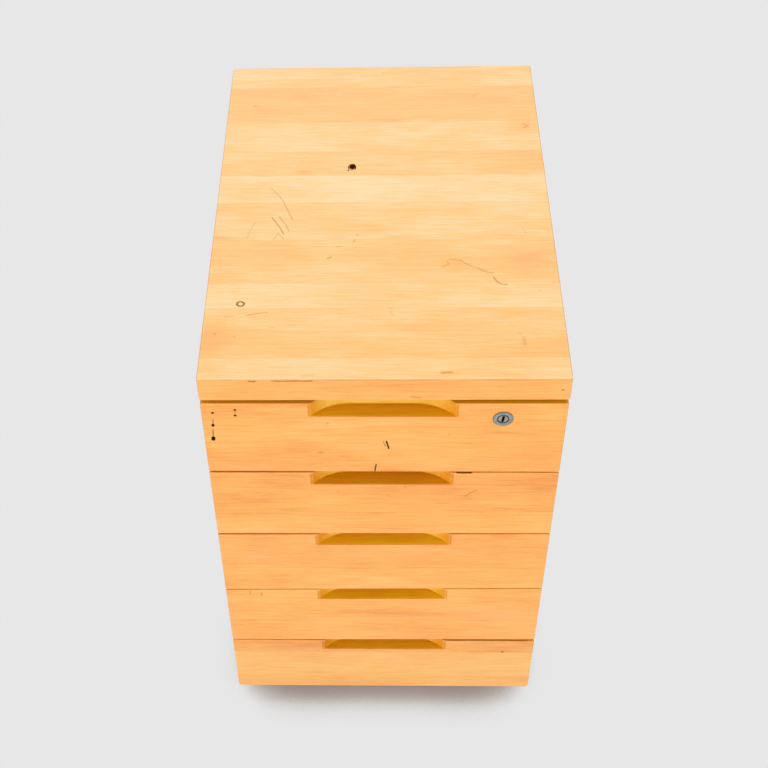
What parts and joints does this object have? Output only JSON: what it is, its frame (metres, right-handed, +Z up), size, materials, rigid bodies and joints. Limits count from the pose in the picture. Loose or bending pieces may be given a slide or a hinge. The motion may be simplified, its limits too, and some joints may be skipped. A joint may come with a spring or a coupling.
{
  "type": "microfiche cabinet",
  "caption": "Wooden drawer pedestal on swivel castors, with scooped finger pulls in overlay fronts and a lock in the top drawer; its drawers take microfiche on edge.",
  "frame": {"origin": "on the floor, under the centre of the body", "axes": "+Z up; the drawers open towards -Y; +X is to the right of someone who faces the fronts"},
  "size_m": [0.4, 0.5809, 0.67],
  "materials": {
    "birch_top": "satin clear lacquer, aged",
    "birch_front": "satin clear lacquer, aged",
    "birch_side": "satin clear lacquer, aged",
    "birch_plywood": "thin clear lacquer",
    "drawer_wood": "thin clear lacquer",
    "runner_wood": "bare, waxed",
    "lock_metal": "satin nickel",
    "screw_steel": "zinc plated",
    "castor_steel": "zinc plated",
    "wheel_nylon": "dark nylon"
  },
  "bodies": {
    "carcass": {"top_panel": "birch_top", "side_panel_left": "birch_side", "side_panel_right": "birch_side", "back_panel": "birch_plywood", "bottom_panel": "birch_plywood", "panel_dowels": "runner_wood", "drawer_runners": "runner_wood", "runner_screws": "screw_steel", "back_screws": "screw_steel", "lock_strike": "screw_steel", "strike_screws": "screw_steel", "castor_plates": "castor_steel", "castor_screws": "screw_steel"},
    "drawer_1": {"drawer_1_front": "birch_front", "drawer_1_side_left": "drawer_wood", "drawer_1_side_right": "drawer_wood", "drawer_1_back": "drawer_wood", "drawer_1_floor": "birch_plywood", "drawer_1_divider": "birch_plywood", "lock_rosette": "lock_metal", "lock_case": "lock_metal", "lock_screws": "screw_steel"},
    "drawer_2": {"drawer_2_front": "birch_front", "drawer_2_side_left": "drawer_wood", "drawer_2_side_right": "drawer_wood", "drawer_2_back": "drawer_wood", "drawer_2_floor": "birch_plywood", "drawer_2_divider": "birch_plywood"},
    "drawer_3": {"drawer_3_front": "birch_front", "drawer_3_side_left": "drawer_wood", "drawer_3_side_right": "drawer_wood", "drawer_3_back": "drawer_wood", "drawer_3_floor": "birch_plywood", "drawer_3_divider": "birch_plywood"},
    "drawer_4": {"drawer_4_front": "birch_front", "drawer_4_side_left": "drawer_wood", "drawer_4_side_right": "drawer_wood", "drawer_4_back": "drawer_wood", "drawer_4_floor": "birch_plywood", "drawer_4_divider": "birch_plywood"},
    "drawer_5": {"drawer_5_front": "birch_front", "drawer_5_side_left": "drawer_wood", "drawer_5_side_right": "drawer_wood", "drawer_5_back": "drawer_wood", "drawer_5_floor": "birch_plywood", "drawer_5_divider": "birch_plywood"},
    "lock_plug": {"lock_plug": "lock_metal"},
    "lock_bolt": {"lock_bolt": "lock_metal"},
    "castor_front_left": {"castor_front_left_fork": "castor_steel", "castor_front_left_axle": "castor_steel"},
    "wheel_front_left": {"castor_front_left_wheel": "wheel_nylon"},
    "castor_front_right": {"castor_front_right_fork": "castor_steel", "castor_front_right_axle": "castor_steel"},
    "wheel_front_right": {"castor_front_right_wheel": "wheel_nylon"},
    "castor_rear_left": {"castor_rear_left_fork": "castor_steel", "castor_rear_left_axle": "castor_steel"},
    "wheel_rear_left": {"castor_rear_left_wheel": "wheel_nylon"},
    "castor_rear_right": {"castor_rear_right_fork": "castor_steel", "castor_rear_right_axle": "castor_steel"},
    "wheel_rear_right": {"castor_rear_right_wheel": "wheel_nylon"}
  },
  "joints": [
    {"name": "drawer_1_slide", "type": "slide", "parent": "carcass", "child": "drawer_1", "axis": [0, -1, 0], "range_m": [0, 0.43]},
    {"name": "drawer_2_slide", "type": "slide", "parent": "carcass", "child": "drawer_2", "axis": [0, -1, 0], "range_m": [0, 0.43]},
    {"name": "drawer_3_slide", "type": "slide", "parent": "carcass", "child": "drawer_3", "axis": [0, -1, 0], "range_m": [0, 0.43]},
    {"name": "drawer_4_slide", "type": "slide", "parent": "carcass", "child": "drawer_4", "axis": [0, -1, 0], "range_m": [0, 0.43]},
    {"name": "drawer_5_slide", "type": "slide", "parent": "carcass", "child": "drawer_5", "axis": [0, -1, 0], "range_m": [0, 0.43]},
    {"name": "lock_turn", "type": "hinge", "parent": "drawer_1", "child": "lock_plug", "pos_m": [0.13, -0.29, 0.608], "axis": [0, -1, 0], "range_deg": [0, 90]},
    {"name": "lock_bolt_lift", "type": "slide", "parent": "drawer_1", "child": "lock_bolt", "axis": [0, 0, 1], "range_m": [0, 0.01]},
    {"name": "castor_front_left_swivel", "type": "hinge", "parent": "carcass", "child": "castor_front_left", "pos_m": [-0.152, -0.23, 0.045], "axis": [0, 0, 1], "continuous": true},
    {"name": "castor_front_left_roll", "type": "hinge", "parent": "castor_front_left", "child": "wheel_front_left", "pos_m": [-0.152, -0.214, 0.019], "axis": [1, 0, 0], "continuous": true},
    {"name": "castor_front_right_swivel", "type": "hinge", "parent": "carcass", "child": "castor_front_right", "pos_m": [0.152, -0.23, 0.045], "axis": [0, 0, 1], "continuous": true},
    {"name": "castor_front_right_roll", "type": "hinge", "parent": "castor_front_right", "child": "wheel_front_right", "pos_m": [0.152, -0.214, 0.019], "axis": [1, 0, 0], "continuous": true},
    {"name": "castor_rear_left_swivel", "type": "hinge", "parent": "carcass", "child": "castor_rear_left", "pos_m": [-0.152, 0.23, 0.045], "axis": [0, 0, 1], "continuous": true},
    {"name": "castor_rear_left_roll", "type": "hinge", "parent": "castor_rear_left", "child": "wheel_rear_left", "pos_m": [-0.152, 0.246, 0.019], "axis": [1, 0, 0], "continuous": true},
    {"name": "castor_rear_right_swivel", "type": "hinge", "parent": "carcass", "child": "castor_rear_right", "pos_m": [0.152, 0.23, 0.045], "axis": [0, 0, 1], "continuous": true},
    {"name": "castor_rear_right_roll", "type": "hinge", "parent": "castor_rear_right", "child": "wheel_rear_right", "pos_m": [0.152, 0.246, 0.019], "axis": [1, 0, 0], "continuous": true}
  ],
  "couplings": [
    {"joint": "lock_turn", "follows": "lock_bolt_lift", "rad_per_m": 157.08}
  ]
}
